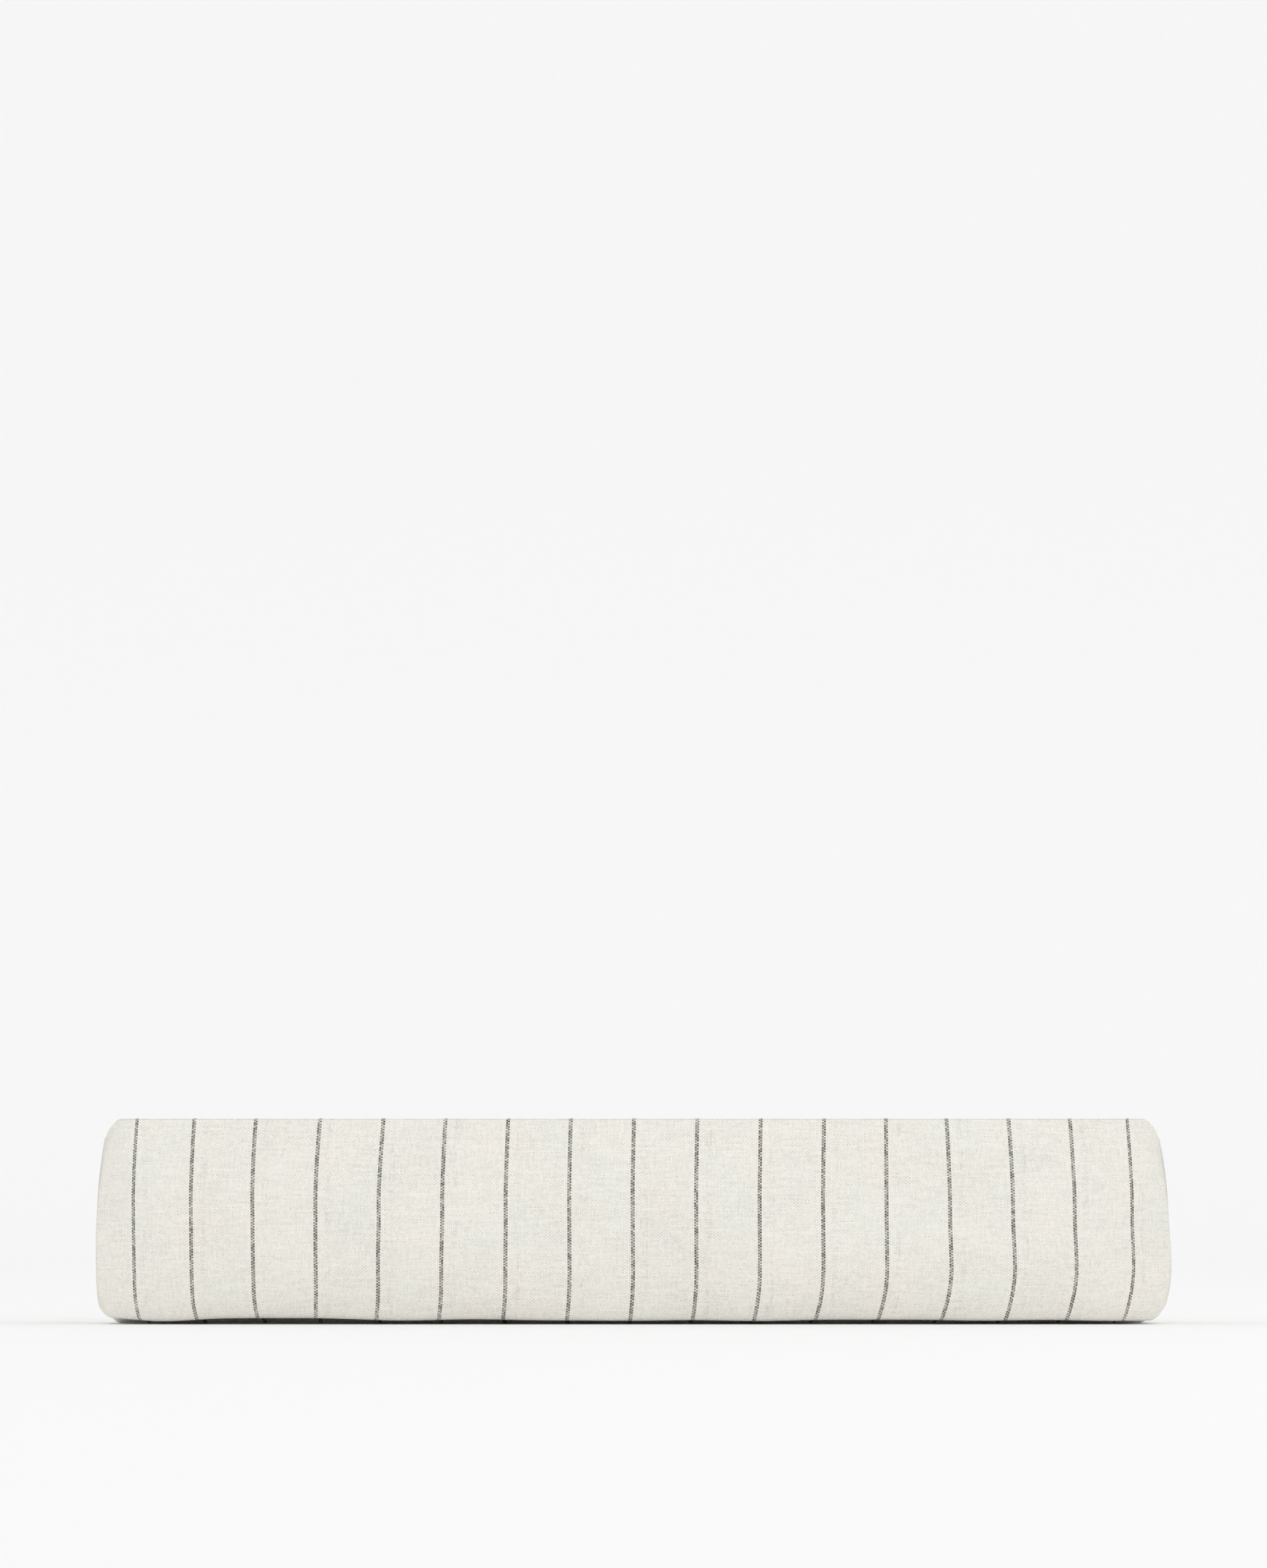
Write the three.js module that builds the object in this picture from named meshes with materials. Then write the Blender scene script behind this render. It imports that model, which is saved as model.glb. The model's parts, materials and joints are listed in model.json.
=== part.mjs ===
// A striped linen table runner, rolled flat over and over into a packet that stands on its soft
// bottom fold. Millimetres, +Z up. The origin is at the middle of the packet's footprint: X runs
// across the cloth from selvedge to selvedge, and -Y is the front of the packet.
import * as THREE from "three";
import { mergeVertices } from "three/addons/utils/BufferGeometryUtils.js";

// The cloth as it is cut and woven.
const RUNNER_WIDTH = 400; // selvedge to selvedge
const RUNNER_LENGTH = 2400; // hem to hem, with both hems turned
const CLOTH_THICKNESS = 0.7;

// The packet.
const FOLD_HEIGHT = 77;
const LAYER_PITCH = 1.5; // one layer to the next, with the air that the roll holds
const FRONT_BEND = 24; // outer radius of the bottom fold at the front
const BACK_BEND = 15; // outer radius of the bottom fold at the back
const CREASE_RADIUS = 2; // the pressed creases along the top
const FRONT_BULGE = 4; // how far the front leans back from its fullest line to the top crease
const BULGE_HEIGHT = 45; // height of that fullest line
const DEPTH_STEP = 0.1; // how closely the depth is fitted to the length that it holds

// The free end, its hems and its label.
const HEM_DEPTH = 20;
const HEM_GAP = 0.3; // between a hem and the cloth that it is turned onto
const END_ABOVE_FLOOR = 6; // how far the free end stops above the floor
const END_STANDOFF = 3.4; // room behind the packet for the free end, its hem and its thread
const CREASE_GAP = 0.3; // left open between two panels that meet at a crease
const THREAD_DIAMETER = 0.4;
const THREAD_INSET = 2; // hem thread to the hem's turned edge
const THREAD_END_GAP = 3; // thread to the selvedge
const LABEL_WIDTH = 30;
const LABEL_HEIGHT = 34;
const LABEL_THICKNESS = 0.3;
const LABEL_FROM_SELVEDGE = 45; // selvedge to the label's nearer side
const LABEL_MARGIN = 3; // label to the hem below it, and its stitches to its top edge

const HALF_CLOTH = CLOTH_THICKNESS / 2;
const BODY_TOP = FOLD_HEIGHT - CLOTH_THICKNESS - CREASE_GAP;
const HEM_TOP = END_ABOVE_FLOOR + HEM_DEPTH;
const PACKET_DEPTH = depthForLength();
const FRONT = -PACKET_DEPTH / 2;
const BACK = PACKET_DEPTH / 2;
const TOP_FRONT_CREASE = FRONT + leanBack(FOLD_HEIGHT);

const linen = new THREE.MeshStandardMaterial({ color: 0xe2dfd8, roughness: 0.92, metalness: 0 });
const hemLinen = new THREE.MeshStandardMaterial({ color: 0xddd9d0, roughness: 0.92, metalness: 0 });
const sewingThread = new THREE.MeshStandardMaterial({ color: 0xefece4, roughness: 0.7, metalness: 0 });
const satin = new THREE.MeshStandardMaterial({ color: 0xf4f3ef, roughness: 0.45, metalness: 0 });

// How far the front face stands behind its fullest line at a height.
function leanBack(height) {
  const rise = Math.max(0, height - BULGE_HEIGHT) / (FOLD_HEIGHT - BULGE_HEIGHT);
  return FRONT_BULGE * rise * rise;
}

// Points on an arc about (y, z), from one angle to another in degrees.
function arc(y, z, radius, from, to) {
  const steps = radius > 2 * CREASE_RADIUS ? 6 : 3;
  return Array.from({ length: steps + 1 }, (_, i) => {
    const angle = THREE.MathUtils.degToRad(from + ((to - from) * i) / steps);
    return new THREE.Vector2(y + radius * Math.cos(angle), z + radius * Math.sin(angle));
  });
}

// The front panel of one turn, from its top crease down to the bottom fold.
function frontPanel(line, top, bottom) {
  const steps = 5;
  return Array.from({ length: steps + 1 }, (_, i) => {
    const height = top + ((bottom - top) * i) / steps;
    return new THREE.Vector2(line + leanBack(height), height);
  });
}

// The middle line of one whole turn: crease, front, bottom fold, back and rear crease.
function turn(number, depth) {
  const inset = number * LAYER_PITCH + HALF_CLOTH;
  const front = -depth / 2 + inset;
  const back = depth / 2 - END_STANDOFF - inset;
  const bottom = inset;
  const top = BODY_TOP - inset;
  const half = (back - front) / 2;
  const frontBend = Math.min(Math.max(FRONT_BEND - inset, CREASE_RADIUS), half);
  const backBend = Math.min(Math.max(BACK_BEND - inset, CREASE_RADIUS), half);
  const creaseTop = top - CREASE_RADIUS;
  const panelTop = number === 0 ? FOLD_HEIGHT - CREASE_GAP : creaseTop;
  const creaseFront = front + leanBack(creaseTop) + CREASE_RADIUS;
  return [
    ...(number === 0 ? [] : arc(creaseFront, creaseTop, CREASE_RADIUS, 90, 180).slice(0, -1)),
    ...frontPanel(front, panelTop, bottom + frontBend).slice(0, -1),
    ...arc(front + frontBend, bottom + frontBend, frontBend, 180, 270),
    ...arc(back - backBend, bottom + backBend, backBend, 270, 360),
    ...arc(back - CREASE_RADIUS, creaseTop, CREASE_RADIUS, 0, 90),
  ];
}

// The first part of a line, up to a length along it.
function cutTo(line, length) {
  const kept = [line[0]];
  let left = length;
  for (let i = 1; i < line.length && left > 0; i += 1) {
    const step = line[i].distanceTo(line[i - 1]);
    kept.push(step <= left ? line[i] : line[i - 1].clone().lerp(line[i], left / step));
    left -= step;
  }
  return kept;
}

function lengthOf(line) {
  return line.slice(1).reduce((sum, point, i) => sum + point.distanceTo(line[i]), 0);
}

// The middle line of every turn that a packet of this depth has room for.
function turns(depth) {
  const narrowest = 2 * (CREASE_RADIUS + CLOTH_THICKNESS);
  const count = Math.floor((depth - END_STANDOFF - narrowest) / (2 * LAYER_PITCH));
  return Array.from({ length: count }, (_, number) => turn(number, depth)).flat();
}

// Length of cloth that is rolled, less the top panel and the free end.
function rolledLength(depth) {
  const topPanel = depth - leanBack(FOLD_HEIGHT);
  return RUNNER_LENGTH - topPanel - (FOLD_HEIGHT - END_ABOVE_FLOOR);
}

// The smallest depth whose turns hold the whole length.
function depthForLength() {
  let depth = FRONT_BEND + BACK_BEND + END_STANDOFF;
  while (lengthOf(turns(depth)) < rolledLength(depth)) {
    depth += DEPTH_STEP;
  }
  return depth;
}

// The rolled cloth, from the top front crease in to its inner end.
function rolledLine() {
  return cutTo(turns(PACKET_DEPTH), rolledLength(PACKET_DEPTH));
}

// A line beside another: positive is to the left of its direction, which is into the roll.
function beside(line, distance) {
  return line.map((point, i) => {
    const before = line[Math.max(i - 1, 0)];
    const after = line[Math.min(i + 1, line.length - 1)];
    const way = (from, to) => to.clone().sub(from).normalize();
    const came = i === 0 ? way(point, after) : way(before, point);
    const goes = i === line.length - 1 ? came : way(point, after);
    const middle = came.clone().add(goes).normalize();
    const reach = distance / middle.dot(came);
    return new THREE.Vector2(point.x - middle.y * reach, point.y + middle.x * reach);
  });
}

// A solid with this outline in Y and Z, between two places along X.
function across(outline, from, to) {
  const solid = new THREE.ExtrudeGeometry(new THREE.Shape(outline), {
    depth: to - from,
    bevelEnabled: false,
  });
  const axes = new THREE.Matrix4().makeBasis(
    new THREE.Vector3(0, 1, 0),
    new THREE.Vector3(0, 0, 1),
    new THREE.Vector3(1, 0, 0),
  );
  solid.applyMatrix4(axes);
  solid.translate(from, 0, 0);
  solid.deleteAttribute("normal");
  solid.deleteAttribute("uv");
  return mergeVertices(solid);
}

// Cloth of full thickness along a middle line, from selvedge to selvedge.
function clothAlong(line) {
  const outline = [...beside(line, -HALF_CLOTH), ...beside(line, HALF_CLOTH).reverse()];
  return across(outline, -RUNNER_WIDTH / 2, RUNNER_WIDTH / 2);
}

function slab(y0, y1, z0, z1, from, to) {
  const corner = (y, z) => new THREE.Vector2(y, z);
  return across([corner(y0, z0), corner(y1, z0), corner(y1, z1), corner(y0, z1)], from, to);
}

// A thread from one selvedge to the other, its middle at (y, z).
function hemThread(y, z) {
  const half = THREAD_DIAMETER / 2;
  const end = RUNNER_WIDTH / 2 - THREAD_END_GAP;
  return slab(y - half, y + half, z - half, z + half, -end, end);
}

function part(name, geometry, material) {
  const mesh = new THREE.Mesh(geometry, material);
  mesh.name = name;
  return mesh;
}

// Everything that stays put while the free end is opened.
function packet() {
  const group = new THREE.Group();
  const line = rolledLine();
  const turned = cutTo([...line].reverse(), HEM_DEPTH).reverse();
  const hemLine = beside(turned, CLOTH_THICKNESS + HEM_GAP);
  const stitched = cutTo(hemLine, THREAD_INSET).at(-1);
  const previous = cutTo(hemLine, THREAD_INSET / 2).at(-1);
  const way = stitched.clone().sub(previous).normalize();
  const off = HALF_CLOTH + HEM_GAP + THREAD_DIAMETER / 2;
  const thread = hemThread(stitched.x - way.y * off, stitched.y + way.x * off);
  group.add(part("folded_cloth", clothAlong(line), linen));
  group.add(part("inner_end_hem", clothAlong(hemLine), hemLinen));
  group.add(part("inner_hem_thread", thread, sewingThread));
  return group;
}

// The panel over the top, between the front crease and the rear crease.
function topTurn() {
  const half = RUNNER_WIDTH / 2;
  const front = TOP_FRONT_CREASE + CLOTH_THICKNESS + CREASE_GAP;
  const back = BACK - CREASE_GAP;
  const panel = slab(front, back, FOLD_HEIGHT - CLOTH_THICKNESS, FOLD_HEIGHT, -half, half);
  return part("top_panel", panel, linen);
}

// The free end that hangs down the back, with its hem, hem thread and label on the inside.
function looseEnd() {
  const group = new THREE.Group();
  const half = RUNNER_WIDTH / 2;
  const inside = BACK - CLOTH_THICKNESS;
  const top = FOLD_HEIGHT - CLOTH_THICKNESS - CREASE_GAP;
  const panel = slab(inside, BACK, END_ABOVE_FLOOR, top, -half, half);
  const hemOutside = inside - HEM_GAP;
  const hemInside = hemOutside - CLOTH_THICKNESS;
  const hem = slab(hemInside, hemOutside, END_ABOVE_FLOOR, HEM_TOP, -half, half);
  const threadY = hemInside - HEM_GAP - THREAD_DIAMETER / 2;
  group.add(part("loose_end_panel", panel, linen));
  group.add(part("outer_end_hem", hem, hemLinen));
  group.add(part("outer_hem_thread", hemThread(threadY, HEM_TOP - THREAD_INSET), sewingThread));
  group.add(...label(inside - HEM_GAP));
  return group;
}

// The blank care label and the row of stitches along its top edge.
function label(outside) {
  const right = RUNNER_WIDTH / 2 - LABEL_FROM_SELVEDGE;
  const left = right - LABEL_WIDTH;
  const bottom = HEM_TOP + LABEL_MARGIN;
  const top = bottom + LABEL_HEIGHT;
  const inside = outside - LABEL_THICKNESS;
  const satinTab = slab(inside, outside, bottom, top, left, right);
  const threadOutside = inside - HEM_GAP;
  const seam = top - LABEL_MARGIN;
  const stitches = slab(
    threadOutside - THREAD_DIAMETER,
    threadOutside,
    seam - THREAD_DIAMETER,
    seam,
    left + 1,
    right - 1,
  );
  return [part("care_label", satinTab, satin), part("label_thread", stitches, sewingThread)];
}

const runner = new THREE.Group();
runner.add(packet(), topTurn(), looseEnd());

export default runner;
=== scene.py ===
"""A striped linen table runner, rolled flat into a packet that stands on its bottom fold.

The cloth is one long sheet. Its middle line is laid out in Y and Z turn by turn, the sheet is woven
across X, and one smooth warp, the same for every layer, then softens the ends and lets the layers
wander. The innermost turns pass through themselves at their bottom folds. Every point keeps its
place on the flat cloth in the attribute "cloth": X is the distance from the middle of the width and
Y the distance along the length from the top front crease, in metres.
"""

import json
import math

import bpy
import numpy as np
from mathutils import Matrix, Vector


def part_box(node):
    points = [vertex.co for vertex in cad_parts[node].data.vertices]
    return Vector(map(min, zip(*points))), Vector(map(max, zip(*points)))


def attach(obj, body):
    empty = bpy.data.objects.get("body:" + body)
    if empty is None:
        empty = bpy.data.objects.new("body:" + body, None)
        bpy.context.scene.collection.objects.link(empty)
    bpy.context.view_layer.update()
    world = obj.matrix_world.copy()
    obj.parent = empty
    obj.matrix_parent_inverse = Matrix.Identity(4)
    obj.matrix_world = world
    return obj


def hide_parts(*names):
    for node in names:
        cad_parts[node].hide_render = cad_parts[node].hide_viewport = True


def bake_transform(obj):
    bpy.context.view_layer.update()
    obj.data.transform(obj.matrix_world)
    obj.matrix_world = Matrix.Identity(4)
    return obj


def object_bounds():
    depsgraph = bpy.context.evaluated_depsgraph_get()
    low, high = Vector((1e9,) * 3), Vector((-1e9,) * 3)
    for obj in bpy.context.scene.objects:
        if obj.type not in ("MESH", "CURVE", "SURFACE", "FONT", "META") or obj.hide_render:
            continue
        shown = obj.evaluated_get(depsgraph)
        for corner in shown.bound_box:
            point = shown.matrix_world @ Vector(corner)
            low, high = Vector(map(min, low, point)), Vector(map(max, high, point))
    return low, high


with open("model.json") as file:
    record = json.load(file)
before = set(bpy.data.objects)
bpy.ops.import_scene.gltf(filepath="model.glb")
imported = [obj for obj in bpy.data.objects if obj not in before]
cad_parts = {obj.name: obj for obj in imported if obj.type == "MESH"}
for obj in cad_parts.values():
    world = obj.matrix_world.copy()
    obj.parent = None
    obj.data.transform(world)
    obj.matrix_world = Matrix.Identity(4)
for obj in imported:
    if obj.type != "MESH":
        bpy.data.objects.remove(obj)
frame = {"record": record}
cad_low, cad_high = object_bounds()

# Places that the frame gives.
FRONT, BACK = cad_low.y, cad_high.y
TOP = cad_high.z
HALF_WIDTH = cad_high.x
BODY_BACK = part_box("folded_cloth")[1].y
FREE_END_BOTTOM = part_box("loose_end_panel")[0].z
HEM_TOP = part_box("outer_end_hem")[1].z
LABEL_LOW, LABEL_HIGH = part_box("care_label")
HINGES = {joint["name"]: joint["pos_m"] for joint in frame["record"]["behaviour"]["joints"]}

# The cloth.
CLOTH = 0.0005
HALF_CLOTH = CLOTH / 2
FLAT_HALF_WIDTH = 0.2059
LAYER_PITCH = 0.0015
ROLLED_LENGTH = 2.279
STRIPE_PITCH = 0.02345
YARNS_PER_STRIPE = 34
YARN_PITCH = STRIPE_PITCH / YARNS_PER_STRIPE
PICK_PITCH = 0.00052
HEM_GAP = 0.0003

# Stitches in the hems, and how far they stay from the cloth's edges.
STITCH = 0.0026
STITCH_GAP = 0.0005
THREAD_RADIUS = 0.00017
OUTER_HEM_MARGIN, INNER_HEM_MARGIN = 0.002, 0.003
HEM_SEAM_DROP = 0.002

# Mesh steps, along the cloth and across it.
SEEN_STEP, HIDDEN_STEP, CREASE_STEP = 0.002, 0.006, 0.0004
SEEN_COLUMN, HIDDEN_COLUMN = 0.0025, 0.012

# The packet's section.
TOP_ROOM = 0.001
CREASE = 0.002
CRISP_CREASE = 0.0011
CREASE_ZONE = 0.004
FULLEST = 0.046
TOP_LEAN = 0.004
FOLD_RADIUS = 0.0145
PANEL_RADIUS = 0.105
FOLD_TURN = math.radians(33)
FOLD_EDGE_RADIUS = 0.0038
BACK_BEND = 0.015
UNDERCUT = 0.0024
UNDERCUT_FRONT, UNDERCUT_BACK = 0.0030, 0.0093

# The packet's ends.
CORNER = 0.0092
LOW_CORNER = 0.0060
END_RECESS = 0.0038
END_ZONE = 0.065
RIM = 0.012

# Across the packet: how much the cloth spreads in the middle and is drawn in at its ends and at the
# upper corners, and how far it lies to the left.
SPREAD = 1.0077
END_DRAW = 0.0276
UPPER_DRAW = 0.0036
OFF_CENTRE = 0.0005


def smooth(low, high, values):
    """0 up to low, 1 from high on, and an even curve between."""
    t = np.clip((values - low) / (high - low), 0, 1)
    return t * t * (3 - 2 * t)


# ---------------------------------------------------------------- the section of the roll


def arc(y, z, radius, start, stop, steps):
    angles = np.radians(np.linspace(start, stop, steps + 1))
    return np.stack([y + radius * np.cos(angles), z + radius * np.sin(angles)], 1)


def straight(start, stop, step):
    count = max(2, round(math.dist(start, stop) / step) + 1)
    return np.linspace(start, stop, count)


def front_lean(z):
    """How far the front stands behind its fullest line above that line."""
    rise = np.maximum(0, z - FULLEST) / (TOP - FULLEST)
    return TOP_LEAN * rise**2


def front_fold(inset, steps):
    """From the fullest line down and under: gently curved at first, then tighter towards the floor."""
    angles = np.linspace(0, math.pi / 2, steps + 1)
    middle = (angles[1:] + angles[:-1]) / 2
    radius = FOLD_RADIUS + PANEL_RADIUS * (1 - np.sin(middle)) ** 3
    radius = np.where(middle < FOLD_TURN, radius, FOLD_EDGE_RADIUS) - inset
    radius = np.maximum(radius, CREASE) * (angles[1] - angles[0])
    y = np.concatenate([[0], np.cumsum(radius * np.sin(middle))])
    z = np.concatenate([[0], np.cumsum(radius * np.cos(middle))])
    return np.stack([FRONT + inset + y, UNDERCUT + inset + z[-1] - z], 1)


def front_side(inset, top, step, steps):
    fold = front_fold(inset, steps)
    panel = straight((0, top), (0, fold[0, 1]), step)[:-1]
    panel[:, 0] = FRONT + inset + front_lean(panel[:, 1])
    return np.concatenate([panel, fold])


def turn(number, step, steps):
    """One turn's middle line: crease, front, bottom fold, back, and the crease above it."""
    inset = number * LAYER_PITCH + HALF_CLOTH
    back = BODY_BACK - inset
    top = TOP - TOP_ROOM - inset
    bend = max(BACK_BEND - inset, CREASE)
    crease_z = top - CREASE
    if number == 0:
        start = front_crease_line()[::-1]
    else:
        y = FRONT + inset + front_lean(crease_z) + CREASE
        start = arc(y, crease_z, CREASE, 90, 180, steps // 3)
    front = front_side(inset, start[-1, 1], step, steps)
    under = straight(front[-1], (back - bend, inset), SEEN_STEP)[1:-1]
    under[:, 1] = inset + UNDERCUT * (1 - smooth(UNDERCUT_FRONT, UNDERCUT_BACK, under[:, 0]))
    heel = arc(back - bend, inset + bend, bend, 270, 360, steps // 2)
    rise = straight(heel[-1], (back, crease_z), step)[1:-1]
    crown = arc(back - CREASE, crease_z, CREASE, 0, 90, steps // 3)
    return np.concatenate([start[:-1], front, under, heel, rise, crown])


def front_crease_line():
    """The lower half of the crisp front crease, from the front panel up to the crease's crown."""
    z = TOP - HALF_CLOTH - CRISP_CREASE
    y = FRONT + HALF_CLOTH + front_lean(z) + CRISP_CREASE
    return arc(y, z, CRISP_CREASE, 180, 135, 3)


def length_along(line):
    return np.concatenate([[0], np.cumsum(np.linalg.norm(np.diff(line, axis=0), axis=1))])


def cut_to(line, length):
    run = length_along(line)
    kept = line[run < length]
    end = [np.interp(length, run, line[:, k]) for k in (0, 1)]
    return np.concatenate([kept, [end]])


def beside(line, distance):
    """A line beside another, to the left of its direction."""
    way = np.gradient(line, axis=0)
    way /= np.linalg.norm(way, axis=1)[:, None]
    return line + distance * np.stack([-way[:, 1], way[:, 0]], 1)


def outer_turn():
    return turn(0, SEEN_STEP, 24)


def inner_turns():
    """All the turns inside the outer one, cut at the cloth's inner end, which is turned over as a hem."""
    first = outer_turn()
    room = BODY_BACK - FRONT - 4 * CREASE
    turns = [turn(n, HIDDEN_STEP, 12) for n in range(1, int(room / (2 * LAYER_PITCH)) + 2)]
    line = np.concatenate([first[-1:], *turns])
    line = cut_to(line, ROLLED_LENGTH - length_along(first)[-1])
    hem = cut_to(line[::-1], HEM_TOP - FREE_END_BOTTOM)
    turned = beside(hem, -CLOTH - HEM_GAP)
    return np.concatenate([line, turned[1:]])


def straight_from_crease(start, stop):
    """A straight run that starts with short steps near the crease, where the cloth would turn if it were
    opened.
    """
    share = CREASE_ZONE / math.dist(start, stop)
    near = np.array(start) * (1 - share) + np.array(stop) * share
    rest = straight(near, stop, SEEN_STEP)[1:]
    return np.concatenate([straight(start, near, CREASE_STEP), rest])


def top_line():
    """From the front crease's crown over the top to the crown of the rear crease."""
    crown = front_crease_line()[-1]
    z = TOP - HALF_CLOTH
    y = crown[0] + CRISP_CREASE * math.cos(math.radians(45))
    start = arc(y, z - CRISP_CREASE, CRISP_CREASE, 135, 90, 3)
    rear = rear_crease()
    middle = straight_from_crease(start[-1], rear[0])[1:-1]
    return np.concatenate([start, middle, rear[:4]])


def rear_crease():
    y = BACK - HALF_CLOTH - CRISP_CREASE
    return arc(y, TOP - HALF_CLOTH - CRISP_CREASE, CRISP_CREASE, 90, 0, 6)


def free_end_line():
    """From the rear crease's crown down the back, round the end's fold and up inside it as a hem."""
    crease = rear_crease()[3:]
    y = BACK - HALF_CLOTH
    fold = HALF_CLOTH + HEM_GAP / 2
    down = straight_from_crease(crease[-1], (y, FREE_END_BOTTOM + fold))[1:-1]
    heel = arc(y - fold, FREE_END_BOTTOM + fold, fold, 0, -180, 6)
    up = straight(heel[-1], (y - 2 * fold, HEM_TOP), SEEN_STEP)[1:]
    return np.concatenate([crease, down, heel, up])


# ---------------------------------------------------------------- the warp that makes it soft


def ripple(x, z, waves):
    """A sum of slow waves. Each is (length along x, length along z, size, phase)."""
    return sum(
        size * np.sin(2 * math.pi * (x / across + z / up) + phase)
        for across, up, size, phase in waves
    )


SOFT_WAVES = (
    (0.131, 0.097, 0.00034, 0.4),
    (-0.087, 0.071, 0.00026, 2.1),
    (0.213, -0.060, 0.00030, 4.0),
    (0.049, 0.110, 0.00012, 1.3),
    (-0.037, 0.052, 0.00009, 5.2),
)
EDGE_WAVES = (
    (0.160, 9.0, 0.00016, 0.9),
    (0.071, 9.0, 0.00014, 3.3),
    (0.043, 9.0, 0.00008, 1.1),
)


def slip(along):
    """How far the layers have wandered sideways at a distance along the cloth."""
    slow = 1 - np.cos(2 * math.pi * along / 0.52)
    quick = np.sin(2 * math.pi * along / 0.37)
    return 0.0004 * slow + 0.0003 * quick


def hump(middle, half_width, values):
    """1 at the middle, falling evenly to 0 at half a width to either side."""
    return 1 - smooth(0, half_width, np.abs(values - middle))


def drift(x, z):
    """How far the cloth has been pulled sideways, against where it lies at mid-height."""
    high = np.clip((z - 0.047) / 0.030, 0, 1.1) ** 1.3
    pull = 0.0007 + 0.0005 * smooth(0.010, 0.070, -x) + 0.0007 * hump(-0.105, 0.040, x)
    pull = pull - 0.0019 * smooth(0.070, 0.135, x)

    # It tucks in towards the middle as it turns under.
    turned = 0.0210 - 0.0085 * smooth(0.115, 0.150, -x)
    low = np.clip((turned - z) / (turned - 0.0035), 0, 1.2) ** 2.2
    tuck = -0.0011 - 0.0016 * smooth(0.0, 0.090, x) + 0.0006 * smooth(0.110, 0.150, x)
    tuck = tuck - 0.0007 * hump(-0.075, 0.050, x) + 0.0021 * smooth(0.105, 0.150, -x)

    # Between the two it sways a little.
    sway = 0.0008 * smooth(0.080, 0.140, x) - 0.0006 * hump(-0.075, 0.060, x)
    return pull * high + tuck * low + sway * hump(0.020, 0.020, z)


def warp(u, along, y, z):
    """Where a point of the cloth ends up: u and along are its place on the flat cloth."""
    across = u + slip(along)
    edge = np.abs(across)
    side = np.sign(across)
    x = across * (SPREAD - END_DRAW * (edge / HALF_WIDTH) ** 8) - OFF_CENTRE

    # The ends are thinner than the middle and rounded at the corners.
    end = np.clip((edge - (FLAT_HALF_WIDTH - END_ZONE)) / END_ZONE, 0, 1.1)
    depth = (BACK - FRONT) / 2
    y = y * (1 - END_RECESS / depth * end**2.2 * (1 - smooth(0.020, 0.073, z)))
    from_edge = np.clip(FLAT_HALF_WIDTH - edge, 0, None)
    inside = np.clip(CORNER - from_edge, 0, CORNER * 0.985)
    z = z - (CORNER - np.sqrt(CORNER**2 - inside**2)) * smooth(0.040, 0.074, z)
    inside = np.clip(LOW_CORNER - from_edge, 0, LOW_CORNER * 0.98)
    z = z + (LOW_CORNER - np.sqrt(LOW_CORNER**2 - inside**2)) * (1 - smooth(0.001, 0.030, z))

    # The sheet draws in towards the top, and more so at its very edges.
    x = x + drift(x, z)
    upper = np.clip((z - 0.026) / 0.050, 0, 1.1) ** 1.5
    x = x - side * UPPER_DRAW * upper * smooth(0.187, FLAT_HALF_WIDTH, edge)

    # The front edge of the bottom stands clear of the floor. It comes closer at one bulge near the
    # left end, and all the way from about a quarter of the width on.
    clear = smooth(0.0, 0.012, -y) * (1 - smooth(0.001, 0.018, z))
    closer = 0.0009 * smooth(-0.128, -0.085, x) + 0.0012 * hump(-0.179, 0.025, x)
    closer = closer + ripple(x, z * 0, EDGE_WAVES)
    z = z - closer * clear

    # Soft waves in the faces, which fade towards the crisp top.
    fade = smooth(0.001, 0.020, z) * (1 - 0.6 * smooth(0.060, 0.077, z))
    y = y + ripple(x, z, SOFT_WAVES) * fade
    return x, y, z


def columns(step, rim_steps):
    """Places across the cloth: even in the middle, and closer together over the rounded ends."""
    rim = FLAT_HALF_WIDTH - RIM
    middle = np.linspace(-rim, rim, round(2 * rim / step) + 1)
    edge = np.linspace(rim, FLAT_HALF_WIDTH, rim_steps + 1)[1:]
    return np.concatenate([-edge[::-1], middle, edge])


# ---------------------------------------------------------------- meshes


def grid_faces(rows, cols):
    first = (np.arange(rows - 1)[:, None] * cols + np.arange(cols - 1)[None, :]).ravel()
    return np.stack([first, first + 1, first + cols + 1, first + cols], 1)


def mesh_object(name, points, faces, material):
    mesh = bpy.data.meshes.new(name)
    mesh.from_pydata([tuple(p) for p in points], [], [tuple(int(i) for i in f) for f in faces])
    mesh.polygons.foreach_set("use_smooth", [True] * len(mesh.polygons))
    mesh.materials.append(material)
    mesh.update()
    made = bpy.data.objects.new(name, mesh)
    bpy.context.scene.collection.objects.link(made)
    return made


def woven_sheet(name, line, first_along, direction, places, material):
    """The cloth over a middle line, with its place on the flat cloth kept at every point."""
    along = first_along + direction * length_along(line)
    u, s = np.meshgrid(places, along)
    y = np.repeat(line[:, :1], len(places), 1)
    z = np.repeat(line[:, 1:], len(places), 1)
    x, y, z = warp(u, s, y, z)
    points = np.stack([x, y, z], -1).reshape(-1, 3)
    faces = grid_faces(len(line), len(places))
    if direction < 0:
        faces = faces[:, ::-1]
    made = mesh_object(name, points, faces, material)
    cloth = made.data.attributes.new("cloth", "FLOAT_VECTOR", "POINT")
    cloth.data.foreach_set("vector", np.stack([u, s, s * 0], -1).astype(np.float32).ravel())
    thick = made.modifiers.new("cloth thickness", "SOLIDIFY")
    thick.thickness = CLOTH
    thick.offset = 0
    return made


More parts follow.
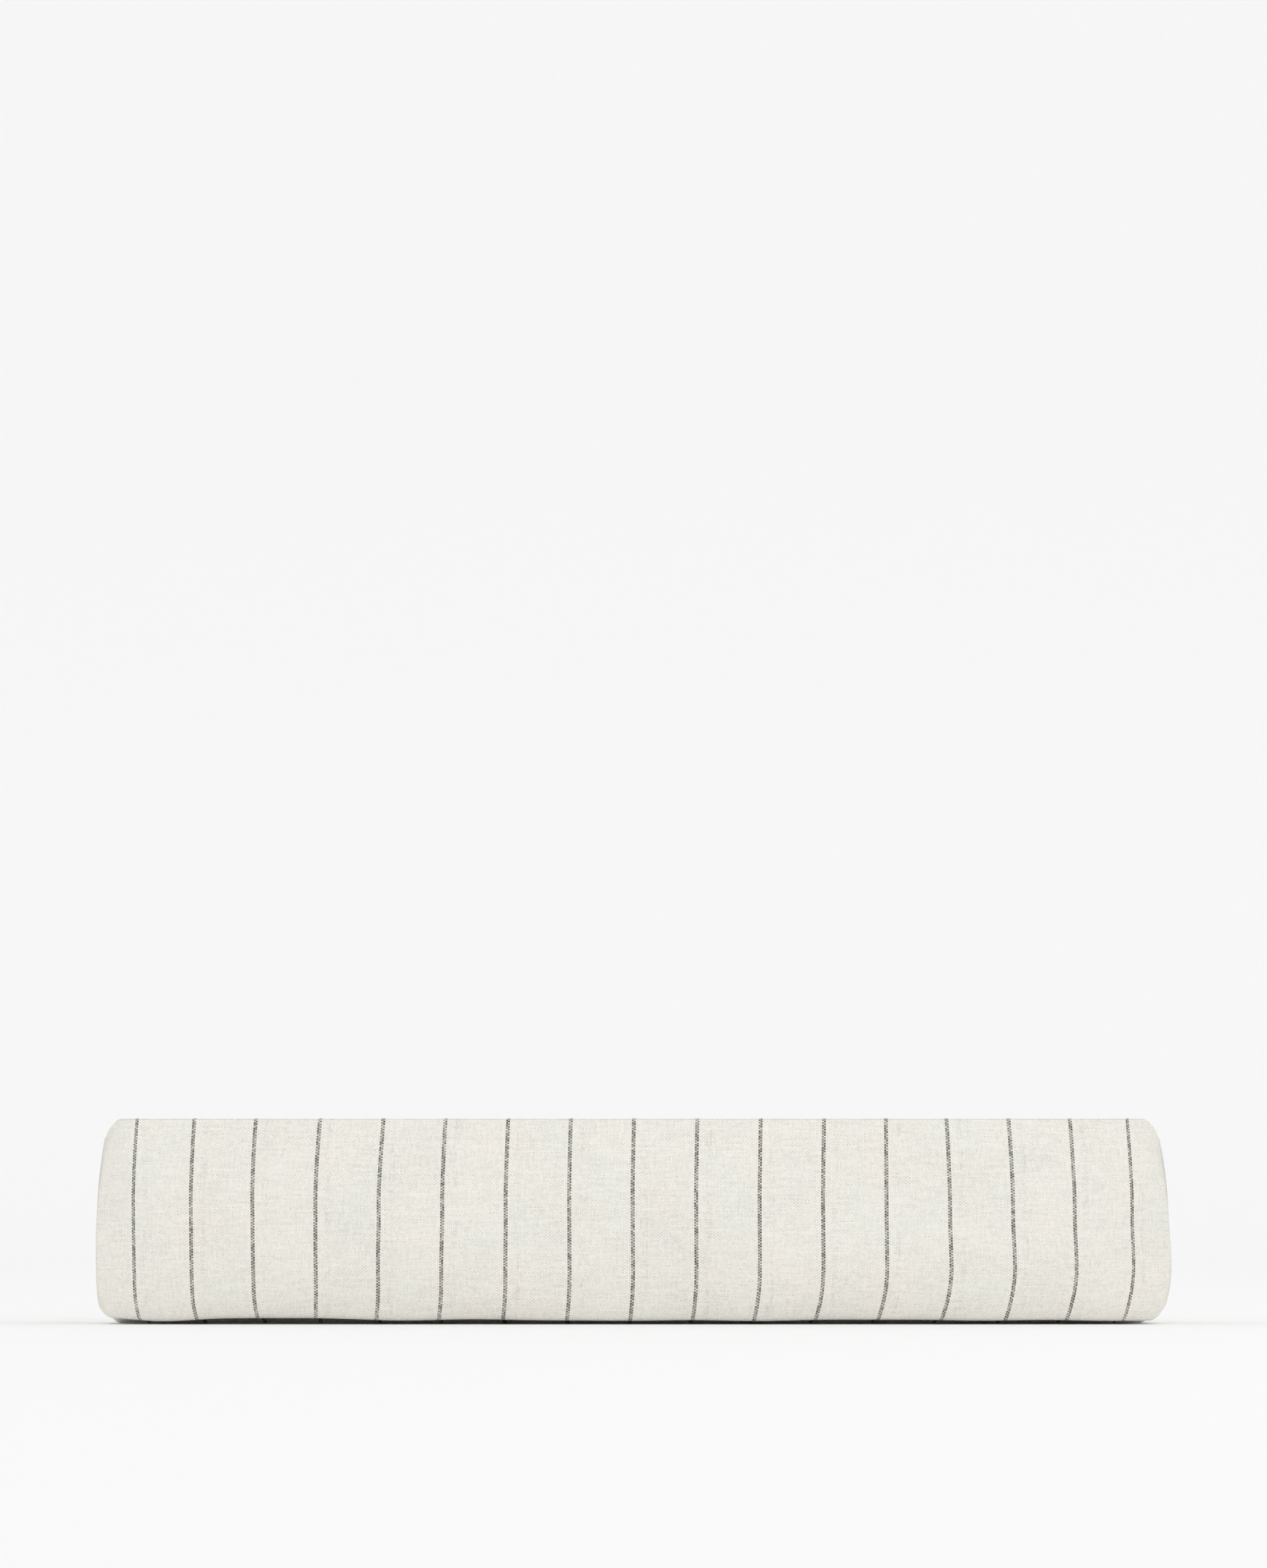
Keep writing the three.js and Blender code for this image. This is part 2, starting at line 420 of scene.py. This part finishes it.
def thread_row(name, stitches, radius, material):
    """Separate stitches, each a short thread that dips into the cloth at both ends.
    A stitch is (start, end, outward), with outward the way it stands off the cloth."""
    sides, rings = 6, 5
    points, faces = [], []
    for start, end, outward in stitches:
        start, end, outward = (np.array(v, float) for v in (start, end, outward))
        way = (end - start) / np.linalg.norm(end - start)
        sideways = np.cross(way, outward)
        base = len(points)
        for ring in range(rings):
            t = ring / (rings - 1)
            swell = math.sin(math.pi * (0.12 + 0.76 * t)) ** 0.5
            rise = radius * (1.1 * math.sin(math.pi * t) - 0.55)
            centre = start + (end - start) * t + outward * rise
            for k in range(sides):
                angle = 2 * math.pi * k / sides
                spread = sideways * math.cos(angle) + outward * math.sin(angle)
                points.append(centre + spread * radius * swell)
        for ring in range(rings - 1):
            for k in range(sides):
                a = base + ring * sides + k
                b = base + ring * sides + (k + 1) % sides
                faces.append((a, b, b + sides, a + sides))
        faces.append(tuple(base + k for k in reversed(range(sides))))
        faces.append(tuple(base + (rings - 1) * sides + k for k in range(sides)))
    return mesh_object(name, points, faces, material)


# ---------------------------------------------------------------- shader building


class Socket:
    """A shader value that takes part in Python sums: each operator adds one Math node."""

    def __init__(self, tree, link):
        self.tree = tree
        self.link = link

    def maths(self, operation, *values):
        return self.tree.node("ShaderNodeMath", {"operation": operation}, dict(enumerate(values)))

    def __add__(self, other):
        return self.maths("ADD", self, other)

    def __sub__(self, other):
        return self.maths("SUBTRACT", self, other)

    def __mul__(self, other):
        return self.maths("MULTIPLY", self, other)

    def __truediv__(self, other):
        return self.maths("DIVIDE", self, other)

    def __pow__(self, other):
        return self.maths("POWER", self, other)

    def __rsub__(self, other):
        return self.maths("SUBTRACT", other, self)

    def __lt__(self, other):
        return self.maths("LESS_THAN", self, other)

    __radd__ = __add__

    def __abs__(self):
        return self.maths("ABSOLUTE", self)

    def floor(self):
        return self.maths("FLOOR", self)

    def round(self):
        return self.maths("ROUND", self)

    def fraction(self):
        return self.maths("FRACT", self)

    def sine(self):
        return self.maths("SINE", self)

    def at_least(self, other):
        return self.maths("MAXIMUM", self, other)

    def at_most(self, other):
        return self.maths("MINIMUM", self, other)


class Tree:
    """A material's nodes."""

    def __init__(self, name):
        self.material = bpy.data.materials.new(name)
        self.material.use_nodes = True
        self.nodes = self.material.node_tree.nodes
        self.links = self.material.node_tree.links
        self.nodes.clear()

    def node(self, kind, settings=None, values=None, output=0):
        """Makes a node of any type, sets it up, then fills its sockets with values or links."""
        made = self.nodes.new(kind)
        for key, value in (settings or {}).items():
            setattr(made, key, value)
        for key, value in (values or {}).items():
            if isinstance(value, Socket):
                self.links.new(value.link, made.inputs[key])
            else:
                made.inputs[key].default_value = value
        return Socket(self, made.outputs[output])

    def mix(self, factor, first, second, blend="MIX"):
        """A mix of two colours."""
        settings = {"data_type": "RGBA", "blend_type": blend, "clamp_factor": True}
        return self.node("ShaderNodeMix", settings, {0: factor, 6: first, 7: second}, output=2)

    def vector(self, x, y):
        return self.node("ShaderNodeCombineXYZ", None, {0: x, 1: y})

    def noise(self, vector, detail=2.0):
        """Noise about 0.5, of unit size in the vector's own units."""
        values = {"Vector": vector, "Scale": 1.0, "Detail": detail}
        return self.node("ShaderNodeTexNoise", {"noise_dimensions": "2D"}, values)

    def white_noise(self, vector):
        return self.node("ShaderNodeTexWhiteNoise", {"noise_dimensions": "2D"}, {"Vector": vector})

    def finish(self, colour, roughness, height, relief, **constants):
        values = {"Strength": 1.0, "Distance": relief, "Height": height}
        bump = self.node("ShaderNodeBump", None, values)
        values = {"Base Color": colour, "Roughness": roughness, "Normal": bump}
        values.update({name.replace("_", " "): value for name, value in constants.items()})
        shader = self.node("ShaderNodeBsdfPrincipled", None, values)
        end = self.nodes.new("ShaderNodeOutputMaterial")
        self.links.new(shader.link, end.inputs["Surface"])
        return self.material


def rgb(red, green, blue):
    return (red, green, blue, 1.0)


def cloth_place(tree):
    """The point's place on the flat cloth: across from the middle, and along, in metres."""
    place = tree.node("ShaderNodeAttribute", {"attribute_name": "cloth"}, output=1)
    across = tree.node("ShaderNodeSeparateXYZ", None, {0: place}, output=0)
    along = tree.node("ShaderNodeSeparateXYZ", None, {0: place}, output=1)
    return across, along


def striped_linen():
    """Plain-weave linen: uneven off-white yarns, slubs, and pairs of charcoal yarns for stripes."""
    tree = Tree("striped linen")
    across, along = cloth_place(tree)
    yarn = across / YARN_PITCH
    pick = along / PICK_PITCH
    warp_yarn = yarn.floor()
    weft_yarn = pick.floor()

    # Which yarn lies on top, and how round it is there.
    warp_on_top = ((warp_yarn + weft_yarn) * 0.5).fraction() * 2
    crown = abs((yarn * math.pi).sine()) * abs((pick * math.pi).sine())
    height = crown ** 0.6

    # Uneven spinning: each yarn has its own lightness, which changes along it. Each crossing and
    # each run of two picks has its own too. A cloudy lightness over the whole cloth is painted shade,
    # standing in for the soft shading of the faces' gentle waves.
    warp_tone = tree.noise(tree.vector(warp_yarn * 1.77, along * 190.0))
    weft_tone = tree.noise(tree.vector(across * 95.0, weft_yarn * 1.71 + 40.0))
    slub = tree.noise(tree.vector(across * 45.0, weft_yarn * 0.93 + 300.0), 0.0)
    slub = ((slub - 0.68) * 6.0).at_least(0.0).at_most(1.0)
    crossing = tree.vector(warp_yarn, weft_yarn)
    cell = tree.white_noise(crossing)
    run = tree.white_noise(tree.vector(warp_yarn, (pick * 0.5).floor()))
    fuzz = tree.noise(tree.vector(across * 2500.0, along * 2500.0), 0.0)
    cloud = tree.noise(tree.vector(across * 27.0, along * 36.0), 3.0)
    tint = tree.noise(tree.vector(across * 46.0 + 9.0, along * 40.0 + 5.0))

    # Beside each stripe three warp yarns are painted a little greyer, in broken lengths: a painted
    # shadow of the stripes of the layer beneath, showing through the thin cloth.
    from_stripe = yarn - (yarn / YARNS_PER_STRIPE).round() * YARNS_PER_STRIPE
    broken = tree.noise(tree.vector(warp_yarn * 0.67 + 20.0, along * 150.0))
    broken = ((broken - 0.42) * 5.0).at_least(0.0).at_most(1.0)
    painted_show_through = (abs(from_stripe - 6.5) < 1.5) * broken

    # Painted shade in the weave's hollows: darker in the furrows between the warp yarns and away from
    # each crossing's crown. The cloud term paints the shade of the gentle waves, and the show-through
    # term paints the shadow of the stripes beneath.
    furrow_shade = (1.0 - abs((yarn * math.pi).sine())) ** 2.0
    tone = 0.80 + (warp_tone - 0.5) * 0.40 + (weft_tone - 0.5) * 0.54 + slub * 0.16
    tone = tone + (cell - 0.5) * 0.30 + warp_on_top * 0.38 - (1.0 - crown) ** 2.0 * 0.12
    tone = tone - furrow_shade * 0.36 + (cloud - 0.5) * 0.26 - painted_show_through * (0.04 + warp_on_top * 0.24)
    cloth = tree.mix(tone, rgb(0.60, 0.58, 0.54), rgb(1.0, 0.975, 0.915))
    tint = ((tint - 0.36) * 3.6).at_least(0.0).at_most(1.0)
    tint = tree.mix(tint, rgb(1.0, 0.990, 0.980), rgb(0.977, 0.989, 0.976))
    cloth = tree.mix(1.0, cloth, tint, "MULTIPLY")

    # Two charcoal warp yarns side by side make each stripe.
    in_stripe = abs(from_stripe) < 1.12
    worn = tree.noise(tree.vector(warp_yarn * 0.61, along * 210.0), 3.0)
    strength = ((worn - 0.18) * 3.2).at_least(0.80).at_most(1.0)
    dark = in_stripe * warp_on_top * strength * (1.0 - run ** 2.0 * 0.2)
    dark = dark * (crown * 5.0).at_most(1.0)
    colour = tree.mix(dark, cloth, rgb(0.014, 0.009, 0.007))
    shade = in_stripe * (1.0 - warp_on_top) * (1.0 - run) * strength * 0.8
    colour = tree.mix(shade, colour, rgb(0.175, 0.12, 0.095))

    roughness = 0.90 - slub * 0.08 + (cloud - 0.5) * 0.06
    relief = height * 0.8 + slub * 0.30 + fuzz * 0.12 + cell * 0.25
    return tree.finish(colour, roughness, relief, 0.00014, Sheen_Weight=0.10, Sheen_Roughness=0.5)


def sewing_thread():
    """Off-white spun thread with a fine twist."""
    tree = Tree("sewing thread")
    place = tree.node("ShaderNodeTexCoord", output=3)
    x = tree.node("ShaderNodeSeparateXYZ", None, {0: place}, output=0)
    z = tree.node("ShaderNodeSeparateXYZ", None, {0: place}, output=2)
    twist = ((x * 0.8 + z) * 9000.0).sine() * 0.5 + 0.5
    shade = tree.noise(tree.vector(x * 300.0, z * 300.0))
    # Lighter on the twist's ridges and darker in its grooves: painted shade, over a random tone.
    colour = tree.mix(twist * 0.35 + shade * 0.5, rgb(0.72, 0.69, 0.64), rgb(0.90, 0.88, 0.84))
    return tree.finish(colour, 0.75 - twist * 0.1, twist, 0.00006, Sheen_Weight=0.1)


def label_satin():
    """Blank white satin tape with fine lengthwise floats."""
    tree = Tree("label satin")
    place = tree.node("ShaderNodeTexCoord", output=3)
    x = tree.node("ShaderNodeSeparateXYZ", None, {0: place}, output=0)
    z = tree.node("ShaderNodeSeparateXYZ", None, {0: place}, output=2)
    floats = (x * (2 * math.pi / 0.00022)).sine() * 0.5 + 0.5
    breaks = tree.noise(tree.vector(x * 4500.0, z * 900.0))
    cloud = tree.noise(tree.vector(x * 90.0, z * 90.0))
    # The floats and breaks are lighter where they stand high and darker between them: painted shade. The
    # cloud is random tone.
    lightness = floats * 0.25 + breaks * 0.3 + cloud * 0.4
    colour = tree.mix(lightness, rgb(0.80, 0.79, 0.76), rgb(0.93, 0.925, 0.91))
    roughness = 0.36 + breaks * 0.14
    return tree.finish(colour, roughness, floats * 0.6 + breaks * 0.4, 0.00004, Sheen_Weight=0.2)


# ---------------------------------------------------------------- the runner


def cloth_point(u, along, place):
    """Where a point of the flat cloth lies in the packet, with place its spot on the middle line."""
    values = warp(np.array([u]), np.array([along]), np.array([place[0]]), np.array([place[1]]))
    return np.array([float(v[0]) for v in values])


def row_across(along, place, outward, margin):
    """Hem stitches in a row across the cloth. Outward is the way they stand off it."""
    reach = FLAT_HALF_WIDTH - margin
    return [
        (cloth_point(u, along, place), cloth_point(u + STITCH, along, place), outward)
        for u in np.arange(-reach, reach - STITCH, STITCH + STITCH_GAP)
    ]


def make_cloth(linen):
    first = outer_turn()
    inner = inner_turns()
    rolled = woven_sheet("rolled_cloth", first, 0.0, 1, columns(SEEN_COLUMN, 12), linen)
    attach(rolled, "packet")
    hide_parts("folded_cloth")
    start = float(length_along(first)[-1])

    roll = woven_sheet("inner_turns", inner, start, 1, columns(HIDDEN_COLUMN, 8), linen)
    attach(roll, "packet")
    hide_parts("folded_cloth", "inner_end_hem")

    over = top_line()
    top = woven_sheet("top_cloth", over, 0.0, -1, columns(SEEN_COLUMN, 12), linen)
    hinge = HINGES["front_crease"]
    hinge[1] + CREASE_ZONE
    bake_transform(top)
    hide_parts("top_panel")
    top_length = float(length_along(over)[-1])

    down = free_end_line()
    end = woven_sheet("free_end", down, -top_length, -1, columns(SEEN_COLUMN, 12), linen)
    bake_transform(end)
    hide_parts("loose_end_panel", "outer_end_hem")
    return top_length


def make_hem_stitches(thread, top_length):
    """The outer hem's lockstitch, on both faces of the free end."""
    height = HEM_TOP - HEM_SEAM_DROP
    along = -top_length - (TOP - height)
    outside = row_across(along, (BACK, height), (0, 1, 0), OUTER_HEM_MARGIN)
    inner_y = BACK - 2 * CLOTH - HEM_GAP
    inside = row_across(along, (inner_y, height), (0, -1, 0), OUTER_HEM_MARGIN)
    row = thread_row("outer_hem_stitches", outside + inside, THREAD_RADIUS, thread)
    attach(row, "loose_end")
    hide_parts("outer_hem_thread")


def make_inner_stitches(thread):
    """The inner hem's stitches, deep in the roll."""
    low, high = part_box("inner_hem_thread")
    place = ((low.y + high.y) / 2, (low.z + high.z) / 2)
    stitches = row_across(ROLLED_LENGTH, place, (0, 0, 1), INNER_HEM_MARGIN)
    row = thread_row("inner_hem_stitches", stitches, THREAD_RADIUS, thread)
    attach(row, "packet")
    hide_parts("inner_hem_thread")


def make_label(satin, thread):
    """A blank satin tab, folded double at its lower edge and stitched down along its top."""
    tape = 0.00016
    fold = 0.00022
    lean = 0.0002
    step = 0.0015
    y = BACK - CLOTH - lean - tape / 2
    down = straight((y, LABEL_HIGH.z), (y - lean, LABEL_LOW.z + fold), step)
    heel = arc(y - lean - fold, LABEL_LOW.z + fold, fold, 0, -180, 8)
    up = straight((y - lean - 2 * fold, LABEL_LOW.z + fold), (y - 2 * fold, LABEL_HIGH.z), step)
    line = np.concatenate([down[:-1], heel, up[1:]])
    places = np.linspace(LABEL_LOW.x, LABEL_HIGH.x, 21)
    x = np.tile(places, (len(line), 1))
    drop = (LABEL_HIGH.z - line[:, 1:]) / (LABEL_HIGH.z - LABEL_LOW.z)
    width = LABEL_HIGH.x - LABEL_LOW.x
    curl = 0.00025 * drop * np.sin((x - LABEL_LOW.x) / width * math.pi)
    points = np.stack([x, line[:, :1] - curl, line[:, 1:] + x * 0], -1).reshape(-1, 3)
    faces = grid_faces(len(line), len(places))[:, ::-1]
    tab = mesh_object("care_label_tab", points, faces, satin)
    thick = tab.modifiers.new("tape thickness", "SOLIDIFY")
    thick.thickness = tape
    thick.offset = 0
    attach(tab, "loose_end")
    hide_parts("care_label")

    seam = LABEL_HIGH.z - 0.003
    stitch, gap, radius = 0.0018, 0.0005, 0.00013
    face = y - 2 * fold - tape / 2
    stitches = [
        ((x0, face, seam), (x0 + stitch, face, seam), (0, -1, 0))
        for x0 in np.arange(LABEL_LOW.x + 0.001, LABEL_HIGH.x - 0.002, stitch + gap)
    ]
    row = thread_row("label_stitches", stitches, radius, thread)
    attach(row, "loose_end")
    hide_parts("label_thread")


# ---------------------------------------------------------------- the studio


def make_stage():
    """A pale floor that curves up into a backdrop."""
    bend, back, half, top = 1.0, 2.2, 14.0, 5.0
    line = [(-half, 0.0), (back, 0.0)]
    line += [
        (back + bend * math.sin(a), bend - bend * math.cos(a))
        for a in np.linspace(0, math.pi / 2, 17)[1:]
    ]
    line.append((back + bend, top))
    points = [(x, y, z) for y, z in line for x in (-half, half)]
    faces = [(2 * i, 2 * i + 1, 2 * i + 3, 2 * i + 2) for i in range(len(line) - 1)]
    material = bpy.data.materials.new("studio paper")
    material.use_nodes = True
    shader = material.node_tree.nodes["Principled BSDF"]
    shader.inputs["Base Color"].default_value = rgb(0.957, 0.957, 0.957)
    shader.inputs["Roughness"].default_value = 0.9
    shader.inputs["Specular IOR Level"].default_value = 0.1
    paper = mesh_object("studio_paper", points, faces, material)


def area_light(name, place, target, size, power):
    light = bpy.data.lights.new(name, "AREA")
    light.shape = "RECTANGLE"
    light.size, light.size_y = size
    light.energy = power
    lamp = bpy.data.objects.new(name, light)
    bpy.context.scene.collection.objects.link(lamp)
    lamp.location = place
    way = np.array(target) - np.array(place)
    yaw = math.atan2(way[0], -way[1])
    pitch = math.atan2(math.hypot(way[0], way[1]), -way[2])
    lamp.rotation_euler = (pitch, 0, yaw + math.pi)


def make_lights():
    world = bpy.data.worlds.new("studio")
    world.use_nodes = True
    background = world.node_tree.nodes["Background"]
    background.inputs["Color"].default_value = rgb(1.0, 1.0, 1.0)
    background.inputs["Strength"].default_value = 0.98
    bpy.context.scene.world = world
    area_light("key", (1.1, -1.3, 1.9), (0, 0, 0), (2.0, 2.0), 1.3)
    area_light("side", (1.7, -0.8, 0.45), (0.1, 0, 0.04), (0.6, 0.6), 1.6)


def make_camera():
    """Level with the packet, straight in front of it."""
    distance = 1.5
    frame_height = 0.5834
    eye = 0.036
    centre_height = 0.2013
    data = bpy.data.cameras.new("camera")
    data.sensor_width = 36.0
    data.lens = 36.0 * distance / frame_height
    data.shift_y = (centre_height - eye) / frame_height
    camera = bpy.data.objects.new("camera", data)
    bpy.context.scene.collection.objects.link(camera)
    camera.location = (0.0, FRONT - distance, eye)
    camera.rotation_euler = (math.pi / 2, 0, 0)
    bpy.context.scene.camera = camera


make_camera()
linen = striped_linen()
thread = sewing_thread()
top_length = make_cloth(linen)
make_hem_stitches(thread, top_length)
make_inner_stitches(thread)
make_label(label_satin(), thread)
make_stage()
make_lights()
bpy.context.scene.view_settings.view_transform = "Standard"
